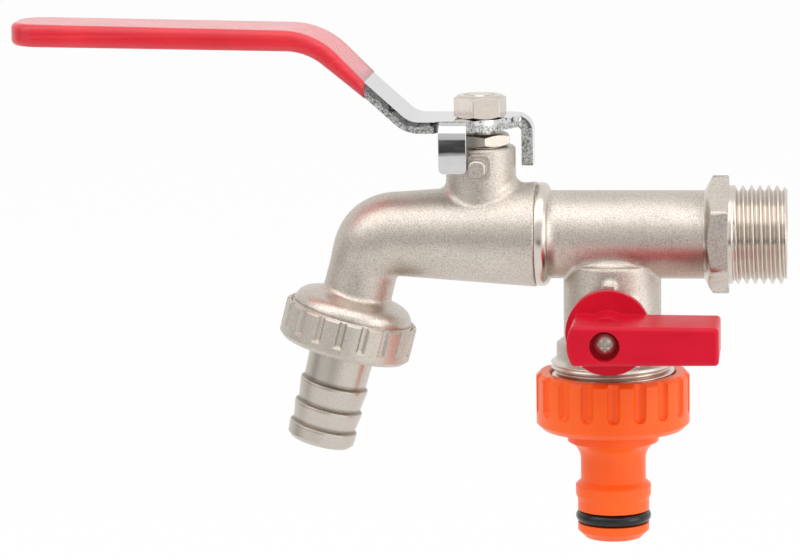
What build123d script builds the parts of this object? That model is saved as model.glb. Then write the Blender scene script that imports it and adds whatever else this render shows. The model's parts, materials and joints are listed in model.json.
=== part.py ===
from build123d import *
import math
import os

# Dual outlet garden tap with a main lever valve and a side lever valve.
# Origin: middle of the inlet's hexagon shoulder. +X runs out of the inlet, +Z is up,
# and the side lever faces -Y. All sizes are in millimetres.

# Clearances
screw_gap = 0.05         # screwed pieces, radial
seat_gap = 0.08          # ball in its seats, radial
shaft_gap = 0.05         # turning stems in their bores, radial
slot_gap = 0.10          # tang in the ball's slot, each side
stop_gap = 0.30          # stop tabs and stop pegs

# Inlet thread and hexagon
inlet_thread_d = 20.955  # G 1/2
inlet_thread_len = 12.3
inlet_chamfer = 0.9
hex_af = 22.0
hex_len = 3.3
hex_cone = 1.9

# Inlet tail
tail_len = 41.0          # shoulder to the seam with the spout body
tail_bore_d = 13.0
tail_wall = 2.92
collar_len = 2.4
collar_round = 1.4
nose_wall = 1.4
nose_len = 4.95

# Main ball valve
ball_d = 15.0
ball_bore_d = 9.2
seat_rim = 0.3           # seat's outside beyond the ball's radius
seat_lap = 3.2           # how far the seat reaches along the ball from its pole
seat_floor = 0.6         # seat's back set behind the ball's pole, inward
seat_bore_gap = 0.2
body_wall = 1.9          # round the nose at the seam

# Main stem, packing and gland
stem_d = 6.5
stem_head_d = 8.4
stem_head_t = 1.6
stem_head_gap = 0.45
tang_t = 3.0
tang_depth = 2.6
thrust_t = 0.8
boss_ledge = 1.75
packing_t = 3.1
packing_w = 1.5
gland_shank = 3.8
boss_wall = 2.62
gland_af = 11.6
gland_hex_t = 2.7
gland_lift = 0.3
lever_lift = 0.85         # gland's top to the lever's plate
boss_round = 2.0

# Main lever
lever_t = 2.4
lever_hub_w = 19.0
lever_tip_w = 15.6
lever_bend_1 = 14.7      # stem axis to the first bend
lever_rise = 18.4
lever_slope = 42.0
lever_tilt = 1.2
lever_reach = 99.1       # stem axis to the steel's tip
lever_bend_r1 = 6.5
lever_bend_r2 = 15.0
lever_waist_r = 9.0
lever_nose_r = 7.0
flat_af = 5.0
tab_gap = 1.1            # boss to the inside of the tabs
tab_w = 5.9
tab_drop = 8.5           # plate's underside to the end of the tabs
tab_bend_r = 1.1
lug_d = 3.7
lug_z = 15.3
lug_edge = 0.3
pad_margin = 0.8
pad_t = 0.35
grip_t = 1.25
grip_lip = 0.15          # sleeve's thickness at its end on the slope
grip_mid = 1.0           # sleeve's thickness at the second bend
grip_start = 9.0         # first bend to the sleeve's end, along X
grip_round = 1.2
nut_af = 10.0
nut_h = 4.8
nut_thread_d = 6.0
nut_sink = 0.55
stem_proud = 0.15

# Spout
barrel_end_r = 9.09
barrel_len = 29.3        # seam to the start of the bend
spout_turn = 75.0
bend_inside = 1.1
leg_d = 14.8
leg_draft = 0.06         # on radius, over the leg
spout_bore_d = 9.6
bell_start = 5.4         # start of the leg to the bell
bell_len = 4.0
bell_d = 25.8
spout_thread_d = 26.441  # G 3/4
spout_thread_len = 3.8
hose_washer_t = 1.5

# Hose tail and union nut
tail_flange_t = 1.6
tail_neck_d = 14.2
barb_d = 14.8
barb_root_d = 13.6
barb_land = 0.5
barb_at = (9.2, 14.4, 19.0)     # from the flange's outer face
hose_tail_len = 22.4
hose_bore_d = 10.4
union_d = 28.7
union_lip_t = 1.2
union_top = 3.8          # nut's mouth above the spout's end
union_slots = 18
union_slot_w = 2.0
union_slot_t = 0.75
union_slot_draft = 38.0
union_slot_len = 5.9

# Branch and side valve
branch_x = -24.9
side_z = -18.5
branch_d = 20.86
branch_top = 4.4         # below the main axis
branch_top_round = 1.6
branch_step_z = -22.2
branch_step_len = 1.3
branch_neck_d = 24.0
branch_thread_z = -26.5
branch_thread_d = 26.441  # G 3/4
branch_end_z = -37.6
side_ball_d = 13.0
side_ball_bore_d = 8.0
side_seat_lap = 3.0
side_seat_floor = 0.5
retainer_t = 6.0
retainer_rim = 0.8
side_stem_d = 6.0
side_head_d = 8.0
side_head_t = 1.4
side_tang_t = 2.6
side_tang_w = 4.2
side_tang_depth = 2.3
side_square = 4.4
o_ring_t = 1.46
side_boss_d = 13.0
side_boss_y = 14.4       # front face of the boss from the branch axis
peg_d = 3.0
peg_at = 8.7

# Side lever
disc_d = 18.1
disc_t = 2.2
skirt_t = 1.3
lever_face_y = 32.6
bar_h = 8.4
bar_tip_h = 7.9
bar_reach = 23.55
bar_round = 0.9
bar_back = 7.9           # stem axis to the bar's round end
hub_d = 9.8
hub_len = 9.0
side_socket_web = 2.5
screw_hole_d = 6.3
screw_hole_t = 4.2
screw_head_d = 4.6
screw_head_h = 1.9
screw_d = 2.5
screw_len = 8.0

# Hose connector
connector_d = 32.9
connector_top_z = -29.7
connector_mouth_d = 27.2
connector_washer_t = 1.7
connector_floor = 2.5
flute_n = 18
flute_r = 1.45
flute_len = 8.6
flare_d = 19.6
flare_len = 2.9
flare_taper = 4.1
neck_d = 14.0
neck_len = 4.5
collar_ring_d = 16.2
collar_ring_up = 1.1
collar_ring_len = 2.0
plug_d = 15.4
plug_len = 3.4
plug_ring_t = 2.65
tip_len = 3.2
connector_bore_d = 9.6

# Derived places and sizes
inlet_r = inlet_thread_d / 2
tube_r = tail_bore_d / 2 + tail_wall
ball_r = ball_d / 2
seat_r = ball_r + seat_rim
seat_back = ball_r - seat_floor
seat_front = ball_r - seat_lap
seat_in = ball_bore_d / 2 + seat_bore_gap
chamber_r = seat_r + 0.1
nose_r = chamber_r + nose_wall
body_bore_r = nose_r + screw_gap
seam_r = body_bore_r + body_wall
collar_r = seam_r - 0.15
ball_x = -(tail_len + nose_len + seat_back)

stem_r = stem_d / 2
head_z0 = ball_r + stem_head_gap
head_z1 = head_z0 + stem_head_t
ledge_z0 = head_z1 + thrust_t
ledge_z1 = ledge_z0 + boss_ledge
packing_z1 = ledge_z1 + packing_t
boss_z = packing_z1 + gland_shank
packing_r = stem_r + shaft_gap + packing_w
boss_r = packing_r + screw_gap + boss_wall
gland_z0 = boss_z + gland_lift
gland_z1 = gland_z0 + gland_hex_t
plate_z0 = gland_z1 + lever_lift
plate_z1 = plate_z0 + lever_t
nut_z1 = plate_z1 + nut_h

bend_x = -(tail_len + barrel_len)
pivot_z = -(barrel_end_r + bend_inside)
turn = math.radians(spout_turn)
leg_r = leg_d / 2
leg_out = bend_inside + leg_r
leg_origin = (bend_x - leg_out * math.sin(turn), 0, pivot_z + leg_out * math.cos(turn))
leg_dir = (-math.cos(turn), 0, -math.sin(turn))
leg_side = (math.sin(turn), 0, -math.cos(turn))
leg_plane = Plane(origin=leg_origin, x_dir=leg_side, z_dir=(0, 1, 0))
leg_axis = Axis(leg_origin, leg_dir)
bell_r = bell_d / 2
spout_thread_r = spout_thread_d / 2
spout_end = bell_start + bell_len + spout_thread_len
flange_s0 = spout_end + hose_washer_t
flange_s1 = flange_s0 + tail_flange_t
union_end = flange_s1 + union_lip_t
union_start = spout_end - union_top
flange_r = spout_thread_r - 0.6

branch_r = branch_d / 2
thread_r = branch_thread_d / 2
side_ball_r = side_ball_d / 2
side_seat_r = side_ball_r + seat_rim
side_seat_back = side_ball_r - side_seat_floor
side_seat_front = side_ball_r - side_seat_lap
side_seat_in = side_ball_bore_d / 2 + seat_bore_gap
side_bore_r = side_seat_r + 0.1
retainer_r = side_bore_r + retainer_rim
retainer_z1 = side_z - side_seat_back
retainer_z0 = retainer_z1 - retainer_t
side_stem_r = side_stem_d / 2
side_head_y0 = side_bore_r
side_head_y1 = side_head_y0 + side_head_t
skirt_y0 = side_boss_y + 0.4 - skirt_t
disc_y0 = side_boss_y + 0.4
disc_y1 = disc_y0 + disc_t
socket_y1 = lever_face_y - screw_hole_t - side_socket_web
disc_r = disc_d / 2

branch_origin = (branch_x, 0, 0)
branch_plane = Plane(origin=branch_origin, x_dir=(1, 0, 0), z_dir=(0, -1, 0))
branch_axis = Axis(branch_origin, (0, 0, 1))
side_origin = (branch_x, 0, side_z)
side_plane = Plane(origin=side_origin, x_dir=(1, 0, 0), z_dir=(0, 0, -1))
side_axis = Axis(side_origin, (0, -1, 0))
stem_origin = (ball_x, 0, 0)
stem_plane = Plane(origin=stem_origin, x_dir=(1, 0, 0), z_dir=(0, -1, 0))
stem_axis = Axis(stem_origin, (0, 0, 1))


def face_at(y_out):
    """Plane square to the side stem, y_out in front of the branch axis."""
    return Plane(origin=(branch_x, -y_out, side_z), x_dir=(1, 0, 0), z_dir=(0, -1, 0))


def bend_plane(share):
    """Plane across the spout's bend, share 0 at the barrel and 1 at the leg."""
    angle = turn * share
    radius = bend_radius(share)
    reach = bend_inside + radius
    place = (bend_x - reach * math.sin(angle), 0, pivot_z + reach * math.cos(angle))
    return Plane(origin=place, x_dir=(0, 1, 0), z_dir=(-math.cos(angle), 0, -math.sin(angle)))


def bend_radius(share):
    """Outside radius of the spout's bend, easing from the barrel to the leg."""
    eased = share ** 1.6
    blend = eased * eased * (3 - 2 * eased)
    return barrel_end_r + (leg_r - barrel_end_r) * blend


def barrel_at(x):
    """Plane square to the barrel at x."""
    return Plane(origin=(x, 0, 0), x_dir=(0, 1, 0), z_dir=(-1, 0, 0))


def leg_at(run):
    """Plane square to the spout's leg, run along it from the end of the bend."""
    return Plane(origin=leg_plane.from_local_coords((0, run, 0)), x_dir=(0, 1, 0), z_dir=leg_dir)


bend_steps = [i / 6 for i in range(7)]
bend_rings = [(bend_plane(step), bend_radius(step)) for step in bend_steps]
bore_start = ball_x - seat_back + 0.5
bore_places = [barrel_at(bore_start), barrel_at((bore_start + bend_x) / 2)]
bore_places += [bend_plane(step) for step in bend_steps]
bore_places += [leg_at(spout_end * share) for share in (0.3, 0.65, 1.1)]


# Spout body
with BuildPart() as spout_body:
    with BuildSketch(Plane.XZ):
        with BuildLine():
            seam_edge = Line((-tail_len, 0), (-tail_len, seam_r - 0.2))
            seam_cut = Line(seam_edge @ 1, (-tail_len - 0.2, seam_r))
            Line(seam_cut @ 1, (bend_x, barrel_end_r))
            Polyline((bend_x, barrel_end_r), (bend_x, 0), seam_edge @ 0)
        make_face()
    revolve(axis=Axis.X)
    with BuildSketch(Plane.XY.offset(ball_r * 0.6)):
        with Locations((ball_x, 0)):
            Circle(boss_r)
    extrude(amount=boss_z - ball_r * 0.6)
    root = spout_body.edges().filter_by(lambda e: seam_r * 0.3 < e.center().Z < seam_r + 1)
    root = root.filter_by(lambda e: abs(e.center().X - ball_x) < boss_r)
    fillet(root.filter_by(GeomType.LINE, reverse=True), radius=boss_round)
    chamfer(spout_body.faces().sort_by(Axis.Z)[-1].edges(), length=0.4)
    # Stop lug with its pad on the front of the boss
    with BuildSketch(Plane.XZ.offset(boss_r * 0.7)):
        with Locations((ball_x, lug_z)):
            RectangleRounded(lug_d + 2 * pad_margin, lug_d + 2 * pad_margin, lug_d * 0.35)
    extrude(amount=boss_r * 0.3 + pad_t)
    with BuildSketch(Plane.XZ.offset(boss_r * 0.7)):
        with Locations((ball_x, lug_z)):
            RectangleRounded(lug_d, lug_d, lug_d * 0.4)
    extrude(amount=boss_r * 0.3 + tab_gap + lever_t)
    chamfer(spout_body.faces().sort_by(Axis.Y)[0].edges(), length=lug_edge)
    # Bend and leg
    with BuildLine(Plane.XZ):
        CenterArc((bend_x, pivot_z), leg_out, 90, spout_turn)
    for place, radius in bend_rings:
        with BuildSketch(place):
            Circle(radius)
    sweep(multisection=True)
    with BuildSketch(leg_plane):
        with BuildLine():
            top = Line((0, 0), (leg_r, 0))
            side = Line(top @ 1, (leg_r + leg_draft, bell_start - 1.1))
            hollow = TangentArc(side @ 1, (leg_r + 1.2, bell_start + 0.3), tangent=side % 1)
            crown = Line(hollow @ 1, (bell_r - 2.3, bell_start + 0.9))
            shoulder = TangentArc(crown @ 1, (bell_r, bell_start + bell_len - 0.6), tangent=crown % 1)
            rim = Polyline(shoulder @ 1, (bell_r, bell_start + bell_len),
                           (spout_thread_r, bell_start + bell_len + 0.3),
                           (spout_thread_r, spout_end - 0.5), (spout_thread_r - 0.5, spout_end),
                           (0, spout_end), top @ 0)
        make_face()
    revolve(axis=leg_axis)
    # Waterway
    with BuildLine():
        Spline(*[place.origin for place in bore_places], tangents=((-1, 0, 0), leg_dir))
    for place in bore_places:
        with BuildSketch(place):
            Circle(spout_bore_d / 2)
    sweep(multisection=True, mode=Mode.SUBTRACT)
    with BuildSketch(Plane.XZ):
        with BuildLine():
            Polyline((-tail_len + 1, 0), (-tail_len + 1, body_bore_r),
                     (ball_x + seat_back - 0.3, body_bore_r),
                     (ball_x + seat_back - 0.3, chamber_r), (ball_x - seat_back, chamber_r),
                     (ball_x - seat_back, 0), close=True)
        make_face()
    revolve(axis=Axis.X, mode=Mode.SUBTRACT)
    # Stem bore
    with BuildSketch(stem_plane):
        with BuildLine():
            Polyline((0, 0), (stem_head_d / 2 + 0.15, 0), (stem_head_d / 2 + 0.15, ledge_z0),
                     (stem_r + shaft_gap, ledge_z0), (stem_r + shaft_gap, ledge_z1),
                     (packing_r + screw_gap, ledge_z1), (packing_r + screw_gap, boss_z + 1),
                     (0, boss_z + 1), close=True)
        make_face()
    revolve(axis=stem_axis, mode=Mode.SUBTRACT)
spout_body.part.label = "spout_body"

# Inlet tail
with BuildPart() as inlet_hex:
    with BuildSketch(Plane.YZ.offset(-hex_len - hex_cone)):
        RegularPolygon(hex_af / 2, 6, major_radius=False, rotation=30)
    extrude(amount=hex_len + hex_cone)
    with BuildSketch(Plane.XZ):
        hex_r = hex_af / math.sqrt(3)
        with BuildLine():
            Polyline((0, 0), (0, hex_r - 0.25), (-0.35, hex_r + 0.1), (-hex_len, hex_r + 0.1),
                     (-hex_len - hex_cone, tube_r), (-hex_len - hex_cone, 0), close=True)
        make_face()
    revolve(axis=Axis.X, mode=Mode.INTERSECT)

with BuildPart() as inlet_tail:
    with BuildSketch(Plane.XZ):
        with BuildLine():
            Polyline((inlet_thread_len, 0), (inlet_thread_len, inlet_r - inlet_chamfer),
                     (inlet_thread_len - inlet_chamfer, inlet_r), (-0.5, inlet_r), (-0.5, tube_r),
                     (-tail_len + collar_len + 0.6, tube_r), (-tail_len + collar_len, collar_r),
                     (-tail_len + 0.2, collar_r), (-tail_len, collar_r - 0.2), (-tail_len, nose_r),
                     (ball_x + seat_back + 0.4, nose_r), (ball_x + seat_back, nose_r - 0.4),
                     (ball_x + seat_back, 0), close=True)
        make_face()
    revolve(axis=Axis.X)
    collar_edge = inlet_tail.edges().filter_by(GeomType.CIRCLE)
    fillet(collar_edge.filter_by(lambda e: abs(e.center().X + tail_len - collar_len) < 0.01
                                 and e.radius > tube_r + 0.5), radius=collar_round)
    with BuildSketch(branch_plane):
        with BuildLine():
            cap = Line((0, -branch_top), (branch_r - branch_top_round, -branch_top))
            dome = RadiusArc(cap @ 1, (branch_r, -branch_top - branch_top_round), -branch_top_round)
            Polyline(dome @ 1, (branch_r, branch_step_z),
                     (branch_neck_d / 2, branch_step_z - branch_step_len),
                     (branch_neck_d / 2, branch_thread_z), (thread_r, branch_thread_z - 0.9),
                     (thread_r, branch_end_z + 0.8), (thread_r - 0.8, branch_end_z),
                     (0, branch_end_z), cap @ 0)
        make_face()
    revolve(axis=branch_axis)
    add(inlet_hex.part)
    # Side stem boss and its stop peg
    with BuildSketch(face_at(branch_r * 0.5)):
        Circle(side_boss_d / 2)
    extrude(amount=side_boss_y - branch_r * 0.5)
    with BuildSketch(face_at(branch_r * 0.5)):
        with Locations((0, peg_at)):
            Circle(peg_d / 2)
    extrude(amount=disc_y0 - stop_gap - branch_r * 0.5)
    # Waterway
    with BuildSketch(Plane.XZ):
        with BuildLine():
            Polyline((inlet_thread_len + 1, 0), (inlet_thread_len + 1, tail_bore_d / 2),
                     (ball_x + seat_back - 1, tail_bore_d / 2), (ball_x + seat_back - 1, 0), close=True)
        make_face()
    revolve(axis=Axis.X, mode=Mode.SUBTRACT)
    with BuildSketch(branch_plane):
        with BuildLine():
            Polyline((0, 0), (side_seat_in, 0), (side_seat_in, side_z + side_seat_back),
                     (side_bore_r, side_z + side_seat_back), (side_bore_r, retainer_z1),
                     (retainer_r + screw_gap, retainer_z1), (retainer_r + screw_gap, branch_end_z - 1),
                     (0, branch_end_z - 1), close=True)
        make_face()
    revolve(axis=branch_axis, mode=Mode.SUBTRACT)
    # Side stem bore
    with BuildSketch(side_plane):
        with BuildLine():
            Polyline((0, 0), (side_head_d / 2 + 0.15, 0), (side_head_d / 2 + 0.15, side_head_y1 + 0.05),
                     (side_stem_r + shaft_gap, side_head_y1 + 0.05),
                     (side_stem_r + shaft_gap, side_boss_y + 1), (0, side_boss_y + 1), close=True)
        make_face()
    revolve(axis=side_axis, mode=Mode.SUBTRACT)
inlet_tail.part.label = "inlet_tail"

# Main ball, with a slot for the stem's tang
with BuildPart() as main_ball:
    with Locations(stem_origin):
        Sphere(ball_r)
        Cylinder(ball_bore_d / 2, ball_d * 2, rotation=(0, 90, 0), mode=Mode.SUBTRACT)
    with Locations((ball_x, 0, ball_r)):
        Box(tang_t + 2 * slot_gap, ball_d, 2 * (tang_depth - stem_head_gap + slot_gap), mode=Mode.SUBTRACT)
main_ball.part.label = "main_ball"


def seat(plane, axis, front, back, inside, outside, ball_radius):
    """Seat ring round a ball; plane has its second direction along the flow."""
    with BuildPart() as ring:
        with BuildSketch(plane):
            with BuildLine():
                reach = ball_radius + seat_gap
                inner = (inside, math.sqrt(reach * reach - inside * inside))
                outer_r = math.sqrt(reach * reach - front * front)
                middle_y = (inner[1] + front) / 2
                middle = (math.sqrt(reach * reach - middle_y * middle_y), middle_y)
                ThreePointArc(inner, middle, (outer_r, front))
                Polyline((outer_r, front), (outside, front), (outside, back), (inside, back), inner)
            make_face()
        revolve(axis=axis)
    return ring.part


flow_in = Plane(origin=stem_origin, x_dir=(0, 0, 1), z_dir=(0, 1, 0))
flow_out = Plane(origin=stem_origin, x_dir=(0, 0, 1), z_dir=(0, -1, 0))
main_axis = Axis(stem_origin, (1, 0, 0))
with BuildPart() as ball_seat_inlet:
    add(seat(flow_in, main_axis, seat_front, seat_back, seat_in, seat_r, ball_r))
ball_seat_inlet.part.label = "ball_seat_inlet"
with BuildPart() as ball_seat_outlet:
    add(seat(flow_out, main_axis, seat_front, seat_back, seat_in, seat_r, ball_r))
ball_seat_outlet.part.label = "ball_seat_outlet"

# Main stem
with BuildPart() as main_stem:
    with BuildSketch(stem_plane):
        with BuildLine():
            Polyline((0, head_z0), (stem_head_d / 2, head_z0), (stem_head_d / 2, head_z1),
                     (stem_r, head_z1), (stem_r, plate_z1 - 0.3), (nut_thread_d / 2, plate_z1 - 0.3),
                     (nut_thread_d / 2, nut_z1 + stem_proud - 0.6),
                     (nut_thread_d / 2 - 0.6, nut_z1 + stem_proud), (0, nut_z1 + stem_proud), close=True)
        make_face()
    revolve(axis=stem_axis)
    with BuildSketch(Plane.XY.offset(head_z0)):
        with Locations((ball_x, 0)):
            Rectangle(tang_t, stem_head_d * 0.8)
    extrude(amount=-tang_depth)
    with BuildSketch(Plane.XY.offset(plate_z0)):
        with Locations((ball_x, (flat_af + stem_d) / 2), (ball_x, -(flat_af + stem_d) / 2)):
            Rectangle(stem_d * 2, stem_d)
    extrude(amount=lever_t, mode=Mode.SUBTRACT)
main_stem.part.label = "main_stem"

with BuildPart() as stem_thrust_washer:
    with BuildSketch(Plane.XY.offset(head_z1)):
        with Locations((ball_x, 0)):
            Circle(stem_head_d / 2)
            Circle(stem_r + shaft_gap, mode=Mode.SUBTRACT)
    extrude(amount=thrust_t)
stem_thrust_washer.part.label = "stem_thrust_washer"

with BuildPart() as stem_packing:
    with BuildSketch(Plane.XY.offset(ledge_z1)):
        with Locations((ball_x, 0)):
            Circle(packing_r)
            Circle(stem_r + shaft_gap, mode=Mode.SUBTRACT)
    extrude(amount=packing_t)
stem_packing.part.label = "stem_packing"

# Gland nut
with BuildPart() as gland_nut:
    with BuildSketch(Plane.XY.offset(gland_z0)):
        with Locations((ball_x, 0)):
            RegularPolygon(gland_af / 2, 6, major_radius=False, rotation=-77)
    extrude(amount=gland_hex_t)
    with BuildSketch(stem_plane):
        gland_rim = gland_af / math.sqrt(3)
        with BuildLine():
            Polyline((0, gland_z0), (gland_af / 2 - 0.1, gland_z0), (gland_rim + 0.1, gland_z0 + 0.55),
                     (gland_rim + 0.1, gland_z1 - 0.7), (gland_af / 2 - 0.6, gland_z1),
                     (0, gland_z1), close=True)
        make_face()
    revolve(axis=stem_axis, mode=Mode.INTERSECT)
    with BuildSketch(Plane.XY.offset(packing_z1)):
        with Locations((ball_x, 0)):
            Circle(packing_r)
    extrude(amount=gland_z0 - packing_z1)
    with BuildSketch(Plane.XY.offset(packing_z1)):
        with Locations((ball_x, 0)):
            Circle(stem_r + shaft_gap)
    extrude(amount=gland_z1 - packing_z1, mode=Mode.SUBTRACT)
gland_nut.part.label = "gland_nut"

# Main lever: side view first, then cut to its plan
slope = math.radians(lever_slope)
tilt = math.radians(lever_tilt)
mid_z = plate_z0 + lever_t / 2
bend_1 = (ball_x - lever_bend_1, mid_z)
bend_2 = (bend_1[0] - lever_rise / math.tan(slope), mid_z + lever_rise)
tip_x = ball_x - lever_reach
tip = (tip_x, bend_2[1] + (bend_2[0] - tip_x) * math.tan(tilt))
hub_x = ball_x + boss_r + tab_gap + lever_t
grip_end = (tip_x - 3 * grip_t, tip[1] + 3 * grip_t * math.tan(tilt))


def lever_plan(margin):
    """Plan of the lever, wider by the margin all round."""
    hub = lever_hub_w / 2
    wide = hub + margin
    end = lever_tip_w / 2 + margin
    with BuildSketch(Plane.XY) as plan:
        with BuildLine():
            Polyline((hub_x - lever_t, hub - 1.2), (hub_x - lever_t, stop_gap + lug_d / 2),
                     (ball_x + 2.4, -hub + 2.1), (ball_x - stop_gap - lug_d / 2, -hub + 1.2),
                     (ball_x - stop_gap - lug_d / 2 - tab_w - 0.5, -hub + 1.2),
                     (ball_x - stop_gap - lug_d / 2 - tab_w - 1.0, -hub),
                     (bend_1[0] + 1.0, -wide), (tip_x - margin, -end), (tip_x - margin, end),
                     (bend_1[0] + 1.0, wide), (hub_x - lever_t - 3.0, hub), close=True)
        make_face()
        corners = plan.vertices().filter_by(lambda v: v.X < tip_x + 0.5)
        fillet(corners, radius=end * 0.72)
        fillet(plan.vertices().filter_by(lambda v: abs(v.X - bend_1[0] - 1.0) < 0.1), radius=lever_waist_r)
        fillet(plan.vertices().filter_by(lambda v: abs(v.X - ball_x - 2.4) < 0.1), radius=lever_nose_r)
    return plan.sketch


strip_plan = lever_plan(0)
grip_plan = lever_plan(grip_t)

with BuildPart() as lever_arm:
    with BuildSketch(Plane.XZ):
        with BuildLine():
            FilletPolyline((hub_x - lever_t, mid_z), bend_1, bend_2, grip_end,
                           radius=(lever_bend_r1, lever_bend_r2))
        trace(line_width=lever_t)
    extrude(amount=lever_hub_w, both=True)
    with BuildSketch(Plane.XY.offset(plate_z0 - lever_t)):
        add(strip_plan)
    extrude(amount=lever_rise * 2, mode=Mode.INTERSECT)
    # Stop tabs, bent down from the front edge and the inlet end
    tab_out = boss_r + tab_gap + lever_t
    tab_edge = stop_gap + lug_d / 2
    with BuildSketch(Plane.YZ.offset(ball_x - tab_edge - tab_w)):
        with BuildLine():
            FilletPolyline((-lever_hub_w / 4, mid_z), (-tab_out + lever_t / 2, mid_z),
                           (-tab_out + lever_t / 2, plate_z0 - tab_drop),
                           radius=tab_bend_r + lever_t / 2)
        trace(line_width=lever_t)
    extrude(amount=tab_w)
    with BuildSketch(Plane.XZ.offset(-tab_edge - tab_w)):
        with BuildLine():
            FilletPolyline((ball_x + lever_hub_w / 4, mid_z), (ball_x + tab_out - lever_t / 2, mid_z),
                           (ball_x + tab_out - lever_t / 2, plate_z0 - tab_drop),
                           radius=tab_bend_r + lever_t / 2)
        trace(line_width=lever_t)
    extrude(amount=tab_w)
    low = lever_arm.edges().filter_by(lambda e: abs(e.center().Z - plate_z0 + tab_drop) < 0.01
                                      and abs(e.length - lever_t) < 0.01)
    fillet(low, radius=1.1)
    with BuildSketch(Plane.XY.offset(plate_z0 - 1)):
        with Locations((ball_x, 0)):
            Circle(stem_r + shaft_gap)
            Rectangle(stem_d * 2, flat_af + 2 * shaft_gap, mode=Mode.INTERSECT)
    extrude(amount=lever_t + 2, mode=Mode.SUBTRACT)
lever_arm.part.label = "lever_arm"

# Lever grip
def sleeve_line(side):
    """Places along the sleeve's upper (side 1) or lower (side -1) edge."""
    half = (slope + tilt) / 2
    lip = side * (lever_t / 2 + grip_lip) / math.cos(slope)
    corner = side * (lever_t / 2 + grip_mid) / math.cos((slope - tilt) / 2)
    far = side * (lever_t / 2 + grip_t)
    return [(bend_1[0] - grip_start, mid_z + grip_start * math.tan(slope) + lip),
            (bend_2[0] + corner * math.sin(half), bend_2[1] + corner * math.cos(half)),
            (grip_end[0] + far * math.sin(tilt), grip_end[1] + far * math.cos(tilt))]


with BuildPart() as lever_grip:
    with BuildSketch(Plane.XZ):
        with BuildLine():
            over = FilletPolyline(*sleeve_line(1), radius=lever_bend_r2 + lever_t / 2 + grip_mid)
            under = FilletPolyline(*sleeve_line(-1), radius=lever_bend_r2 - lever_t / 2 - grip_mid)
            Line(over @ 0, under @ 0)
            Line(over @ 1, under @ 1)
        make_face()
    extrude(amount=lever_hub_w, both=True)
    with BuildSketch(Plane.XY.offset(plate_z0 - lever_t)):
        add(grip_plan)
    extrude(amount=lever_rise * 2, mode=Mode.INTERSECT)
    rims = lever_grip.edges().filter_by(lambda e: abs(e.center().Y) > 1 or e.center().X < tip_x)
    fillet(rims.filter_by(lambda e: abs(e.tangent_at(0.5).Z) < 0.7), radius=grip_round)
    add(lever_arm.part, mode=Mode.SUBTRACT)
lever_grip.part.label = "lever_grip"

# Lever nut
with BuildPart() as lever_nut:
    with BuildSketch(Plane.XY.offset(plate_z1)):
        with Locations((ball_x, 0)):
            RegularPolygon(nut_af / 2, 6, major_radius=False, rotation=-100.0)
    extrude(amount=nut_h)
    with BuildSketch(stem_plane):
        nut_rim = nut_af / math.sqrt(3)
        with BuildLine():
            Polyline((0, plate_z1), (nut_af / 2 - 0.1, plate_z1), (nut_rim + 0.1, plate_z1 + 0.5),
                     (nut_rim + 0.1, nut_z1 - 0.75), (nut_af / 2 - 0.4, nut_z1), (0, nut_z1), close=True)
        make_face()
    revolve(axis=stem_axis, mode=Mode.INTERSECT)
    with BuildSketch(Plane.XY.offset(plate_z1)):
        with Locations((ball_x, 0)):
            Circle(nut_thread_d / 2 + screw_gap)
    extrude(amount=nut_h, mode=Mode.SUBTRACT)
    chamfer(lever_nut.faces().sort_by(Axis.Z)[-1].inner_wires().edges(), length=nut_sink)
lever_nut.part.label = "lever_nut"

# Union nut, with grip grooves that taper inward and run out at its mouth
with BuildPart() as union_groove:
    with BuildSketch(Plane(origin=(0, 0, 0), x_dir=(0, 0, 1), z_dir=(-1, 0, 0))):
        Rectangle(2 * union_slot_len, union_slot_w)
    extrude(amount=union_slot_t, taper=union_slot_draft)

with BuildPart() as union_nut:
    union_r = union_d / 2
    lip_r = tail_neck_d / 2 + 0.5
    with BuildSketch(leg_plane):
        with BuildLine():
            Polyline((spout_thread_r + screw_gap, union_start + 0.5), (spout_thread_r + 0.5, union_start),
                     (union_r - 0.4, union_start), (union_r, union_start + 0.4), (union_r, union_end - 0.9),
                     (union_r - 0.9, union_end), (lip_r, union_end), (lip_r, flange_s1),
                     (spout_thread_r + screw_gap, flange_s1), close=True)
        make_face()
    revolve(axis=leg_axis)
    mouth = Plane(origin=leg_plane.from_local_coords((0, union_start, 0)), x_dir=leg_side, z_dir=leg_dir)
    with Locations(mouth.location):
        with PolarLocations(union_r, union_slots, start_angle=11):
            add(union_groove.part, mode=Mode.SUBTRACT)
union_nut.part.label = "union_nut"

# Hose tail
with BuildPart() as hose_tail:
    with BuildSketch(leg_plane):
        neck_r = tail_neck_d / 2
        outline = [(hose_bore_d / 2, flange_s0), (flange_r, flange_s0), (flange_r, flange_s1),
                   (neck_r, flange_s1)]
        for at in barb_at:
            crest = flange_s1 + at
            outline += [(barb_root_d / 2, crest - 0.5), (barb_d / 2, crest), (barb_d / 2, crest + barb_land)]
        last = flange_s1 + hose_tail_len
        outline += [(barb_d / 2 - 0.15, last - 0.8), (barb_d / 2 - 0.9, last), (hose_bore_d / 2, last)]
        with BuildLine():
            Polyline(*outline, close=True)
        make_face()
    revolve(axis=leg_axis)
hose_tail.part.label = "hose_tail"

with BuildPart() as hose_tail_washer:
    with BuildSketch(leg_plane):
        with BuildLine():
            Polyline((hose_bore_d / 2 + 0.6, spout_end), (flange_r, spout_end), (flange_r, flange_s0),
                     (hose_bore_d / 2 + 0.6, flange_s0), close=True)
        make_face()
    revolve(axis=leg_axis)
hose_tail_washer.part.label = "hose_tail_washer"

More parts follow.
